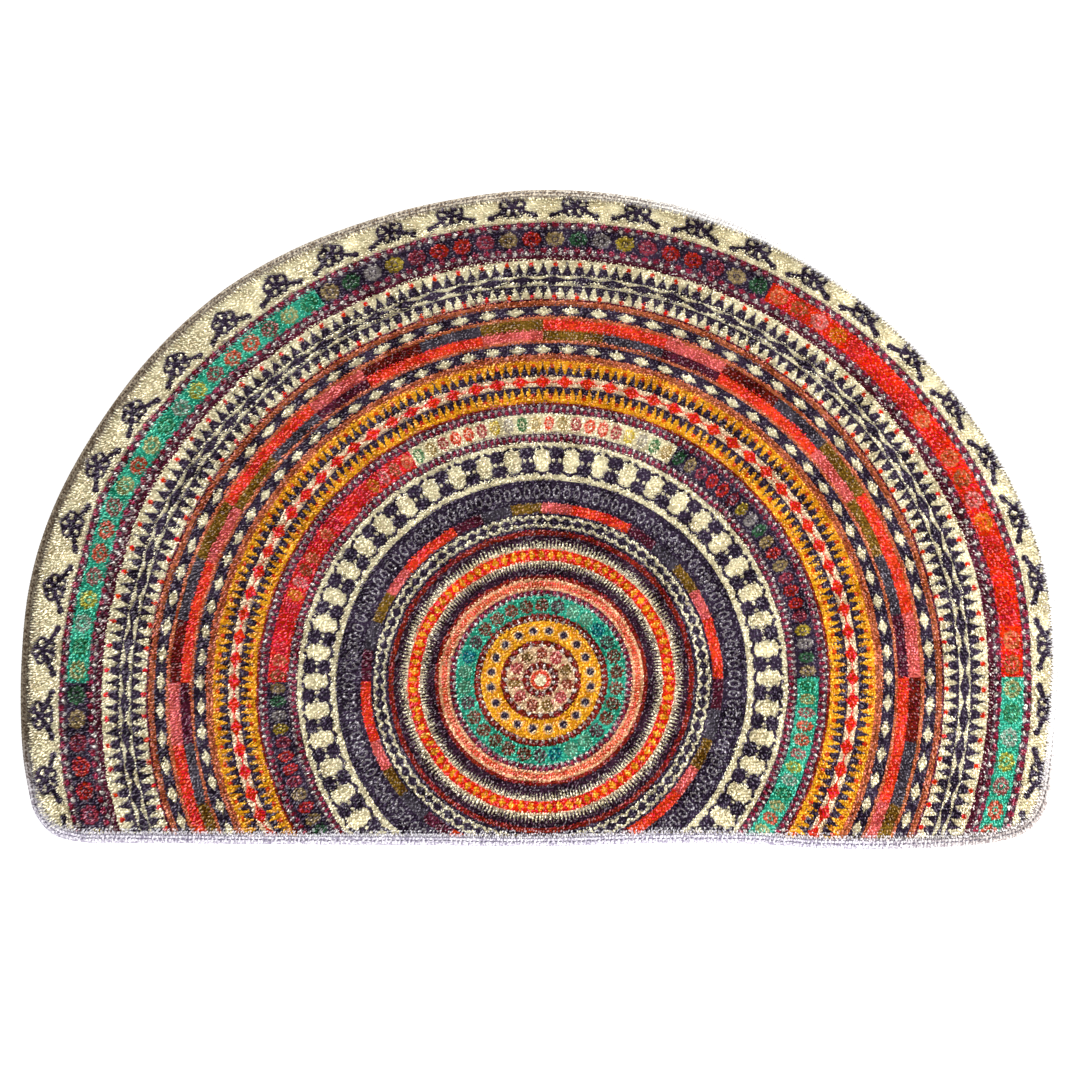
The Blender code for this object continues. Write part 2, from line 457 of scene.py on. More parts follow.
def store_vectors(obj, name, rows):
    """Keeps three numbers for each vertex under a name that the material reads."""
    layer = obj.data.attributes.new(name, "FLOAT_VECTOR", "POINT")
    layer.data.foreach_set("vector", np.asarray(rows, dtype=np.float32).ravel())


NOISE_WAVES = 9


def soft_noise(x, y, wave, seed):
    """Smooth noise of about -1 to 1 over the plane, with patches of the given size in mm."""
    draw = np.random.default_rng(seed)
    total = np.zeros_like(x)
    for _ in range(NOISE_WAVES):
        turn = draw.uniform(0, 2 * math.pi)
        step = 2 * math.pi / (wave * draw.uniform(0.7, 1.7))
        total += np.sin((x * math.cos(turn) + y * math.sin(turn)) * step + draw.uniform(0, 2 * math.pi))
    return total / math.sqrt(NOISE_WAVES)


# Pile

# Seeds of the random draws
LATTICE_SEED = 11
TUFT_SEED = 23
SWIRL_SEED = 31
SMALL_SWIRL_SEED = 33
WOBBLE_SEED = 41

# Sizes in mm of the patches that lean their own way, of smaller ones in them, and of the print's wobble
SWIRL_PATCH = 46
SMALL_SWIRL_PATCH = 15
WOBBLE_PATCH = 24

# How far the print wobbles, and how far the dye of single tufts strays, in mm
WOBBLE = 0.5
DYE_STRAY = 0.3

# How far the print follows a tuft's single points instead of its upper end
PRINT_FOLLOW = 0.85

# Widths in mm of the round shoulder of the pile's body, and of the fringe that fans out over the binding
SHOULDER = 3.5
FRINGE = 6

# How much more the outermost tufts fan out on the right side, at the back and at the left front corner
SPLAY_RIGHT = 0.3
SPLAY_BACK = 0.4
SPLAY_CORNER = 1.2

# Most that a single tuft strays, in tosses; and the spread of the tufts' widths and of their fanning out
TOSS_LIMIT = 1.8
WIDTH_SPREAD = (0.82, 1.18)
SPLAY_SPREAD = (0.55, 1.15)

# Where a tuft is thickest, on its way to the tip, how far it is raised there, and the height of its crown
BELLY = 0.55
BELLY_LIFT = 0.12
CROWN = 0.75

# A tuft's points are its root, three round its belly and its tip; their heights in the tuft, for the painted
# shade towards the root
TUFT_HEIGHTS = (0.0, 0.6, 0.6, 0.8, 1.0)
TUFT_POINTS = len(TUFT_HEIGHTS)

# A tuft's six faces, and where its corners lie in its own cell of the unwrapped map
TUFT_FACES = ((0, 1, 2), (0, 2, 3), (0, 3, 1), (2, 1, 4), (3, 2, 4), (1, 3, 4))
RING_MAP = ((0.12, 0.20), (0.88, 0.20), (0.50, 0.90))
TIP_MAP = (0.50, 0.42)
ROOT_MAP = ((0.50, 0.03), (0.88, 0.66), (0.12, 0.66))

# Rings of the pile's body: distances in from its edge, and the number of steps from there to its middle
BODY_INSETS = (0.0, 0.5, 1.2, 2.2, 3.5, 7.0)
BODY_LOOPS = 30

# What the body has for its tufts' height, tones and distance to the edge, so that it takes the painted shade
# of deep pile and no highlight
DEEP_HEIGHT = 0.15
DEEP_TONE = (0.5, 0.8, 0.5)
DEEP_EDGE = (20.0, 0.0, 0.0)

# Spots that are compared with the rim at a time, to spare memory
BATCH = 8000


def nearest_on_rim(spots, rim, inner):
    """For each spot: distance into the rug from the rim, inward direction there, and nearest rim point."""
    depth = np.empty(len(spots))
    facing = np.empty((len(spots), 2))
    nearest = np.empty(len(spots), dtype=int)
    for start in range(0, len(spots), BATCH):
        batch = slice(start, start + BATCH)
        part = spots[batch]
        gap = ((part[:, None, :] - rim[None, :, :]) ** 2).sum(axis=2)
        best = gap.argmin(axis=1)
        nearest[batch] = best
        facing[batch] = inner[best]
        depth[batch] = ((part - rim[best]) * inner[best]).sum(axis=1)
    return depth, facing, nearest


def print_places(x, y):
    """Places in the print, in mm from its middle, with its stretch near the rim taken out."""
    radius = np.hypot(x, y)
    bearing = (np.degrees(np.arctan2(y, x)) + 90) % 360 - 90
    stretch = np.array(RIM_STRETCH)
    pull = np.interp(bearing, stretch[:, 0], stretch[:, 1])
    near_rim = np.clip((radius - STRETCH_FROM) / (STRETCH_TO - STRETCH_FROM), 0, 1)
    share = 1 - pull * near_rim / np.maximum(radius, 1)
    return x * share, y * share


def body_height(sizes, depth):
    """Top of the pile's closed lower part, by distance in from the pile's edge."""
    share = np.clip(depth / SHOULDER, 0, 1)
    return sizes.body_edge + (sizes.body - sizes.body_edge) * np.sin(share * math.pi / 2)


def tuft_lattice(sizes, rim):
    """Roots of all tufts: rows, columns, places, ways in from the pile's edge, and inward directions."""
    low, high = rim.min(axis=0), rim.max(axis=0)
    rows = int((high[1] - low[1]) / sizes.row) + 1
    columns = int((high[0] - low[0]) / sizes.column) + 1
    row, column = (g.ravel() for g in np.meshgrid(np.arange(rows), np.arange(columns), indexing="ij"))
    x = low[0] + (column + 0.5 * (row % 2)) * sizes.column
    y = low[1] + row * sizes.row
    draw = np.random.default_rng(LATTICE_SEED)
    x = x + draw.uniform(-1, 1, len(x)) * sizes.stray
    y = y + draw.uniform(-1, 1, len(y)) * sizes.stray
    spots = np.stack([x, y], axis=1)
    coarse = rim[::2]
    depth, facing, _ = nearest_on_rim(spots, coarse, inward(coarse))
    keep = depth > sizes.inset
    return row[keep], column[keep], spots[keep], depth[keep] - sizes.inset, facing[keep]


def drift(x, y, patch, seed, second=0.6):
    """Soft noise in two directions, for patches of tufts that stray together."""
    return np.stack([soft_noise(x, y, patch, seed), second * soft_noise(x, y, patch, seed + 1)], axis=1)


def tuft_meshes(sizes, rim):
    """Rows and columns of all tufts, and their points with print places, tones and distances to the edge."""
    row, column, root, depth, facing = tuft_lattice(sizes, rim)
    count = len(root)
    draw = np.random.default_rng(TUFT_SEED)
    x, y = root[:, 0], root[:, 1]
    half = np.abs(rim[:, 0]).max()
    # The pile leans to the front, and to its sides the further out it is; single patches and tufts stray
    lean = np.stack([0.3 * sizes.lean * (1.6 * x / half - 0.2), np.full(count, -sizes.lean)], axis=1)
    lean += sizes.swirl * drift(x, y, SWIRL_PATCH, SWIRL_SEED)
    lean += sizes.swirl * 0.6 * drift(x, y, SMALL_SWIRL_PATCH, SMALL_SWIRL_SEED)
    lean += sizes.toss * draw.normal(0, 1, (count, 2)).clip(-TOSS_LIMIT, TOSS_LIMIT)
    fringe = np.clip(1 - depth / FRINGE, 0, 1)[:, None]
    to_right, to_back = -facing[:, :1], -facing[:, 1:]
    splay = sizes.splay * (1 + SPLAY_RIGHT * np.clip(1.5 * to_right - 0.2, 0, 1)
                           + SPLAY_BACK * np.clip(1.5 * to_back - 0.2, 0, 1)
                           + SPLAY_CORNER * np.clip(4.0 * to_right * to_back - 0.8, 0, 1) * (to_right < 0))
    lean = lean * (1 - 0.6 * fringe) - facing * fringe * splay * draw.uniform(*SPLAY_SPREAD, (count, 1))
    root_height = body_height(sizes, depth) - sizes.root
    rise = sizes.tip - sizes.body + sizes.root + sizes.tip_spread * draw.uniform(-1, 1, count)
    size = (sizes.width * draw.uniform(*WIDTH_SPREAD, count))[:, None]
    axis = np.column_stack([lean, rise])
    reach = np.linalg.norm(lean, axis=1)[:, None] + 1e-6
    aside = np.stack([-lean[:, 1], lean[:, 0], np.zeros(count)], axis=1) / reach
    crown = np.cross(axis / np.linalg.norm(axis, axis=1)[:, None], aside)

    spots = np.empty((count, TUFT_POINTS, 3))
    spots[:, 0] = np.column_stack([root, root_height])
    spots[:, 4] = spots[:, 0] + axis
    belly = spots[:, 0] + BELLY * axis
    belly[:, 2] += BELLY_LIFT * rise
    spots[:, 1] = belly + aside * size
    spots[:, 2] = belly - aside * size
    spots[:, 3] = belly + crown * size * CROWN

    # Each point of a tuft has its own place in the print, drawn a little towards the tuft's upper end
    centre = print_centre()
    seen = (root + 0.9 * lean)[:, None, :]
    own = seen + PRINT_FOLLOW * (spots[:, :, :2] - seen)
    wobble = WOBBLE * drift(x, y, WOBBLE_PATCH, WOBBLE_SEED, 1)[:, None, :]
    own = own + wobble - centre + draw.normal(0, DYE_STRAY, (count, 1, 2)).clip(-1, 1)
    print_x, print_y = print_places(own[:, :, 0], own[:, :, 1])
    height = np.tile(TUFT_HEIGHTS, (count, 1))
    place = np.stack([print_x, print_y, height], axis=2)
    tone = np.repeat(draw.uniform(0, 1, (count, 1, 3)), TUFT_POINTS, axis=1)
    edge = np.repeat(np.column_stack([depth, facing])[:, None, :], TUFT_POINTS, axis=1)
    return row, column, spots, place, tone, edge


def tuft_unwrap(row, column):
    """Map corners for every face of every tuft: neighbours in the pile stay neighbours in the map."""
    row = row - row.min()
    column = column - column.min()
    rows, columns = row.max() + 1, column.max() + 1
    folds = max(1, round(math.sqrt(columns / rows)))
    wide = math.ceil(columns / folds)
    cell_u = column % wide
    cell_v = row + rows * (column // wide)
    corner = {1: RING_MAP[0], 2: RING_MAP[1], 3: RING_MAP[2], 4: TIP_MAP}
    table = []
    for number, face in enumerate(TUFT_FACES):
        table.append([ROOT_MAP[number] if v == 0 else corner[v] for v in face])
    table = np.array(table)
    u = (cell_u[:, None, None] + table[None, :, :, 0]) / wide
    v = (cell_v[:, None, None] + table[None, :, :, 1]) / (rows * folds)
    return np.stack([u, v], axis=3)


def make_pile(sizes, rim, material):
    """The pile, in strips from front to back, each one mesh of closed tufts."""
    row, column, spots, place, tone, edge = tuft_meshes(sizes, rim)
    order = np.argsort(row, kind="stable")
    limits = [row[order[min(len(row) - 1, round(len(row) * k / sizes.strips))]] for k in range(sizes.strips)]
    limits.append(row.max() + 1)
    pieces = []
    for number in range(sizes.strips):
        mine = (row >= limits[number]) & (row < limits[number + 1])
        count = int(mine.sum())
        faces = (np.arange(count)[:, None, None] * TUFT_POINTS + np.array(TUFT_FACES)).reshape(-1, 3)
        strip = mesh_object(f"pile_strip_{number + 1}", spots[mine].reshape(-1, 3), faces, 3)
        store_vectors(strip, "print_spot", place[mine].reshape(-1, 3))
        store_vectors(strip, "tuft_tone", tone[mine].reshape(-1, 3))
        store_vectors(strip, "edge_spot", edge[mine].reshape(-1, 3))
        layer = strip.data.uv_layers.new(name="OFBake")
        layer.uv.foreach_set("vector", tuft_unwrap(row[mine], column[mine]).astype(np.float32).ravel())
        strip.data.materials.append(material)
        pieces.append(strip)
    return pieces


def make_body(sizes, rim, material):
    """The dense lower part of the pile, one closed low form that carries the print between the tufts."""
    inner = inward(rim)
    count = len(rim)
    # It reaches a little past the outermost roots and down into the cloth
    start = sizes.inset - 0.5
    loops = [rim + inner * (start + inset) for inset in BODY_INSETS]
    heights = [float(body_height(sizes, np.array(inset))) for inset in BODY_INSETS]
    base = loops[-1]
    middle = base.mean(axis=0)
    shares = np.linspace(1, 0, BODY_LOOPS, endpoint=False)[1:]
    loops += [middle + (base - middle) * share for share in shares]
    heights += [sizes.body] * len(shares)
    low = sizes.cloth - 0.1
    tops = [np.column_stack([ring, np.full(count, z)]) for ring, z in zip(loops, heights)]
    under = [loops[0]] + [middle + (base - middle) * share for share in (1, 0.5, 0.1)]
    bottoms = [np.column_stack([ring, np.full(count, low)]) for ring in under]
    obj, spots = closed_form("pile_body", tops[::-1] + bottoms, (*middle, sizes.body), (*middle, low))
    print_x, print_y = print_places(*(spots[:, :2] - print_centre()).T)
    store_vectors(obj, "print_spot", np.stack([print_x, print_y, np.full(len(spots), DEEP_HEIGHT)], axis=1))
    store_vectors(obj, "tuft_tone", np.full((len(spots), 3), DEEP_TONE))
    store_vectors(obj, "edge_spot", np.full((len(spots), 3), DEEP_EDGE))
    obj.data.materials.append(material)
    return obj


# Cloth under the pile

# How much of its lift the cloth has in each ring in from its cut edge, and its rings from there to the middle
CLOTH_LIFTS = (1.0, 1.0, 0.97, 0.72, 0.3, 0.0, 0.0)
CLOTH_SHARES = (0.8, 0.55, 0.3, 0.08)


def make_cloth(sizes, rim, material):
    """One closed sheet: flat on the floor, and lifted at its cut edge where it runs into the binding."""
    inner = inward(rim)
    # Distances in from the rim: the cut edge, the stretch inside the binding, and the way down to the floor
    insets = (sizes.cloth_inset, sizes.cloth_inset + 2.6, 6.9, 8.6, 10.4, 13.0, 18.0)
    count = len(rim)
    loops = [rim + inner * inset for inset in insets]
    base = loops[-1]
    middle = base.mean(axis=0)
    loops += [middle + (base - middle) * share for share in CLOTH_SHARES]
    low = [sizes.cloth_lift * lift for lift in CLOTH_LIFTS] + [0.0] * len(CLOTH_SHARES)
    tops = [np.column_stack([ring, np.full(count, z + sizes.cloth)]) for ring, z in zip(loops, low)]
    bottoms = [np.column_stack([ring, np.full(count, z)]) for ring, z in zip(loops, low)]
    cloth, _ = closed_form("backing_cloth", tops[::-1] + bottoms, (*middle, sizes.cloth), (*middle, 0.0))
    cloth.data.materials.append(material)
    return cloth


# Binding

# Seeds of the random draws
STITCH_SEED = 57
THREAD_TONE_SEED = 71

# Sides of a thread, and how level a stretch of it is at least for its own sideways direction to count
THREAD_SIDES = 4
LEVEL = 0.25

# One link of the chain: share of its length, lift in mm, and share of its thickness
LINK = ((-0.5, -0.2), (-0.25, 0.22), (0.25, 0.26), (0.5, -0.2))
LINK_WIDTHS = np.array([0.4, 1, 1, 0.4])

# Lift in mm of the chains over the binding, and slant of their links
LINK_LIFT = 0.12
LINK_SLANT = 0.5

# One needle loop, in mm: way along the rim, way in from it and lift; and half its thickness all along
NEEDLE_LOOP = ((-0.9, 5.2, 0.0), (-0.55, 6.8, 1.9), (0.0, 8.3, 3.2), (0.4, 7.2, 2.6), (0.8, 5.2, 0.0))
NEEDLE_WIDTHS = np.array([0.7, 1, 1, 1, 0.7]) * 0.34

# How far in from the rim the needle loops stand, and their lift over the binding, in mm
NEEDLE_FOOT = 5.0
NEEDLE_LIFT = 0.1


def swept(rim, inner, profile, name):
    """A closed band: the section's points, as distance in from the rim and height, carried round the rim."""
    count, sides = len(rim), len(profile)
    spots = np.concatenate([np.column_stack([rim + inner * into, np.full(count, z)]) for into, z in profile])
    this = np.arange(count)
    after = (this + 1) % count
    faces = []
    for k in range(sides):
        a, b = k * count, (k + 1) % sides * count
        faces.append(np.stack([a + this, a + after, b + after, b + this], axis=1))
    obj = mesh_object(name, spots, np.vstack(faces), 4)
    return obj, spots


def rim_places(rim, spots_along, into):
    """Places for stitches: distance along the rim and distance in from it, both in mm."""
    inner = inward(rim)
    total = ring_length(rim)
    at = (np.asarray(spots_along) / total * len(rim)) % len(rim)
    index = at.astype(int)
    share = (at - index)[:, None]
    after = (index + 1) % len(rim)
    spot = rim[index] * (1 - share) + rim[after] * share
    facing = inner[index] * (1 - share) + inner[after] * share
    return spot + facing * np.asarray(into)[:, None]


def thread_tubes(name, paths, radius):
    """One mesh of many short threads; each path is a row of points in mm."""
    count, steps, _ = paths.shape
    along = np.gradient(paths, axis=1)
    along /= np.linalg.norm(along, axis=2)[:, :, None] + 1e-9
    upright = np.zeros((count, steps, 3))
    upright[:, :, 2] = 1
    across = np.cross(along, upright)
    steep = np.linalg.norm(across, axis=2) < LEVEL
    across = np.where(steep[:, :, None], np.median(across, axis=1, keepdims=True), across)
    across /= np.linalg.norm(across, axis=2)[:, :, None] + 1e-9
    outward = np.cross(across, along)
    radius = np.asarray(radius)[None, :, None]
    rings = []
    for k in range(THREAD_SIDES):
        angle = 2 * math.pi * (k + 0.5) / THREAD_SIDES
        rings.append(paths + across * math.cos(angle) * radius + outward * math.sin(angle) * radius)
    spots = np.stack(rings, axis=2).reshape(-1, 3)
    faces = []
    base = np.arange(count)[:, None] * steps * THREAD_SIDES
    for step in range(0, (steps - 1) * THREAD_SIDES, THREAD_SIDES):
        for k in range(THREAD_SIDES):
            a, b = step + k, step + (k + 1) % THREAD_SIDES
            c, d = a + THREAD_SIDES, b + THREAD_SIDES
            faces.append(base + np.array([a, b, d]))
            faces.append(base + np.array([a, d, c]))
    end = (steps - 1) * THREAD_SIDES
    for k in range(1, THREAD_SIDES - 1):
        faces.append(base + np.array([0, k + 1, k]))
        faces.append(base + np.array([end, end + k, end + k + 1]))
    return mesh_object(name, spots, np.vstack(faces), 3), spots


def store_rim_spots(obj, spots, rim, threads=1):
    """What the thread materials read: place from the print's middle, depth, way along the rim, two tones."""
    dense = smooth_ring(rim, NEAREST_POINTS)
    depth, _, nearest = nearest_on_rim(spots[:, :2], dense, inward(dense))
    store_vectors(obj, "rim_spot", np.column_stack([spots[:, :2] - print_centre(), depth]))
    along = nearest * ring_length(dense) / len(dense)
    tones = np.random.default_rng(THREAD_TONE_SEED).uniform(0, 1, (threads, 2))
    tones = np.repeat(tones, len(spots) // threads, axis=0)
    store_vectors(obj, "thread_spot", np.column_stack([along, tones]))


def spaced(draw, rim, pitch, stray):
    """Distances along the rim, one pitch apart, each a little astray."""
    total = ring_length(rim)
    count = round(total / pitch)
    return np.arange(count) * total / count + draw.normal(0, stray, count)


def stitches(name, rim, start, route, radius, material):
    """One mesh of like stitches; the route's points are the way along the rim, the way in and the height."""
    paths = []
    for along, into, z in route:
        spot = rim_places(rim, start + along, np.broadcast_to(into, start.shape))
        paths.append(np.column_stack([spot, np.broadcast_to(z, start.shape)]))
    obj, spots = thread_tubes(name, np.stack(paths, axis=1), radius)
    store_rim_spots(obj, spots, rim, len(start))
    obj.data.materials.append(material)
    return obj


def make_binding(sizes, rim, laid, wound, chain):
    """The binding: a laid sleeve, the threads wrapped over the rim, two chains and the needle loops."""
    even = smooth_ring(rim, SLEEVE_POINTS)
    w, h, t = sizes.width, sizes.height, sizes.wall
    # Section of the sleeve, from its lower leg round the rim and over the top, then back along its inside
    profile = ((w, 0.0), (1.5, 0.0), (0.55, 0.3), (0.1, 1.2), (0.1, h - 1.2), (0.55, h - 0.3), (1.5, h),
               (3.2, h + 0.05), (5.2, h), (w, h - 0.15), (w, h - t), (1.2, h - t), (1.2, t), (w, t))
    sleeve, spots = swept(even, inward(even), profile[::-1], "binding_sleeve")
    store_rim_spots(sleeve, spots, rim)
    sleeve.data.materials.append(laid)

    # Every wrapped thread starts on top, runs over the rim and ends on the underside
    draw = np.random.default_rng(STITCH_SEED)
    start = spaced(draw, rim, sizes.wrap_pitch, 0.12)
    route = ((1.5, 6.7, h - 0.15), (1.1, 5.0, h + 0.12), (0.75, 3.2, h + 0.18), (0.35, 1.5, h + 0.12),
             (0.1, 0.35, h - 0.55), (0.0, 0.02, h / 2), (0.1, 0.4, 0.5), (0.3, 1.6, 0.34), (0.9, 5.5, 0.34))
    pieces = [sleeve, stitches("wrapped_threads", rim, start, route, [sizes.wrap_thread] * len(route), wound)]

    for name, pitch, into, span, half in (("looper_chain", sizes.chain_pitch, 3.1, 2.5, 0.5),
                                          ("edge_row", sizes.needle_pitch, 5.6, 2.3, 0.32)):
        start = spaced(draw, rim, pitch, 0.1)
        into = into + draw.normal(0, 0.12, len(start))
        route = [(share * span, into + share * LINK_SLANT, h + LINK_LIFT + lift) for share, lift in LINK]
        pieces.append(stitches(name, rim, start, route, LINK_WIDTHS * half, chain))

    # The needle loops stand up between the binding and the pile, each one a little longer or shorter
    start = spaced(draw, rim, sizes.needle_pitch, 0.25)
    reach = draw.uniform(0.75, 1.15, len(start))
    route = [(along, NEEDLE_FOOT + (into - NEEDLE_FOOT) * reach, h + NEEDLE_LIFT + z * reach)
             for along, into, z in NEEDLE_LOOP]
    return pieces + [stitches("needle_loops", rim, start, route, NEEDLE_WIDTHS, wound)]


# Shader tools

def linear(colour):
    """A colour as the eye reads it, turned into the renderer's light values."""
    return tuple(c / 12.92 if c <= 0.04045 else ((c + 0.055) / 1.055) ** 2.4 for c in colour) + (1.0,)


class Value:
    """A number in a material; sums, products and comparisons of it add Math nodes."""

    def __init__(self, paint, socket):
        self.paint = paint
        self.socket = socket

    def __add__(self, other):
        return self.paint.math("ADD", self, other)

    __radd__ = __add__

    def __sub__(self, other):
        return self.paint.math("SUBTRACT", self, other)

    def __rsub__(self, other):
        return self.paint.math("SUBTRACT", other, self)

    def __mul__(self, other):
        return self.paint.math("MULTIPLY", self, other)

    __rmul__ = __mul__

    def __truediv__(self, other):
        return self * (1 / other)

    def __rtruediv__(self, other):
        return self.paint.math("DIVIDE", other, self)

    def __abs__(self):
        return self.paint.math("ABSOLUTE", self)

    def __gt__(self, other):
        return self.paint.math("GREATER_THAN", self, other)

    def __lt__(self, other):
        return self.paint.math("LESS_THAN", self, other)

    def times_plus(self, factor, extra, clamp=False):
        return self.paint.math("MULTIPLY_ADD", self, factor, extra, clamp=clamp)

    def clamped(self, factor=1.0):
        """The value times a factor, held between 0 and 1."""
        return self.paint.math("MULTIPLY", self, factor, clamp=True)

    def plus_square(self, other):
        """This plus the square of the other."""
        return self.paint.math("MULTIPLY_ADD", other, other, self)

    def most(self, other):
        return self.paint.math("MAXIMUM", self, other)

    def below(self, limit, soft):
        """1 where the value is under the limit and 0 where it is over, with a soft change between."""
        return self.times_plus(-1 / soft, limit / soft + 0.5, clamp=True)

    def to_repeat(self, start, period):
        """Distance to the nearest of the repeats that begin at start."""
        return self.paint.math("PINGPONG", self - start if start else self, period / 2)

    def within(self, period):
        """The value wrapped into one period."""
        return self.paint.math("FLOORED_MODULO", self, period)


class Paint:
    """Builds one material's nodes."""

    def __init__(self, name):
        self.material = bpy.data.materials.new(name)
        self.material.use_nodes = True
        self.tree = self.material.node_tree
        self.shader = self.tree.nodes["Principled BSDF"]

    def node(self, kind, settings=None, sockets=None):
        """Adds a node, applies its settings and then feeds its sockets with values or links."""
        node = self.tree.nodes.new(kind)
        for key, value in (settings or {}).items():
            if key == "stops":
                stops = node.color_ramp.elements
                while len(stops) > 1:
                    stops.remove(stops[-1])
                for number, (spot, colour) in enumerate(value):
                    stop = stops[0] if number == 0 else stops.new(spot)
                    stop.position = spot
                    stop.color = colour
            elif key == "interpolation":
                node.color_ramp.interpolation = value
            else:
                setattr(node, key, value)
        for key, value in (sockets or {}).items():
            self.feed(node.inputs[key], value)
        return node

    def feed(self, socket, value):
        """Links a socket to a value or another socket, or sets it to a number or colour."""
        if isinstance(value, Value):
            value = value.socket
        if isinstance(value, bpy.types.NodeSocket):
            self.tree.links.new(value, socket)
        else:
            socket.default_value = value

    def math(self, operation, *values, clamp=False):
        """A Math node on numbers and values."""
        settings = {"operation": operation, "use_clamp": clamp}
        return Value(self, self.node("ShaderNodeMath", settings, dict(enumerate(values))).outputs[0])

    def mix(self, share, first, second, blend="MIX"):
        """The first colour where share is 0 and the second where it is 1."""
        node = self.node("ShaderNodeMix", {"data_type": "RGBA", "blend_type": blend},
                         {0: share, 6: first, 7: second})
        return node.outputs[2]

    def ramp(self, factor, stops, interpolation="CONSTANT"):
        """Colour by stops; in a constant ramp each colour holds from its stop to the next."""
        nudge = RAMP_NUDGE if interpolation == "CONSTANT" else 0
        stops = [(max(0, spot - nudge), colour) for spot, colour in stops]
        node = self.node("ShaderNodeValToRGB", {"interpolation": interpolation, "stops": stops}, {0: factor})
        return node.outputs[0]

    def mix_value(self, share, first, second):
        """The first number where share is 0 and the second where it is 1."""
        node = self.node("ShaderNodeMix", {"data_type": "FLOAT"}, {0: share, 2: first, 3: second})
        return Value(self, node.outputs[0])

    def split(self, vector):
        """The three numbers of a vector."""
        return [Value(self, out) for out in self.node("ShaderNodeSeparateXYZ", None, {0: vector}).outputs]

    def attribute(self, name):
        """The three numbers stored on the mesh under a name."""
        return self.split(self.node("ShaderNodeAttribute", {"attribute_name": name}).outputs["Vector"])

    def place(self):
        """Where a point lies, in metres."""
        return self.node("ShaderNodeTexCoord").outputs["Object"]

    def noise(self, scale, detail):
        """Grain over the surface, about as many spots to the metre as the scale says."""
        sockets = {"Vector": self.place(), "Scale": scale, "Detail": detail}
        return Value(self, self.node("ShaderNodeTexNoise", None, sockets).outputs[0])

    def bump(self, strength, distance, height):
        """Normals of a fine relief; the distance is in metres."""
        sockets = {"Strength": strength, "Distance": distance, "Height": height}
        return self.node("ShaderNodeBump", None, sockets).outputs[0]

    def finish(self, colour, roughness, normal=None):
        """Links what changes over the surface and gives the material."""
        self.feed(self.shader.inputs["Base Color"], colour)
        self.feed(self.shader.inputs["Roughness"], roughness)
        if normal is not None:
            self.feed(self.shader.inputs["Normal"], normal)
        return self.material


# Print

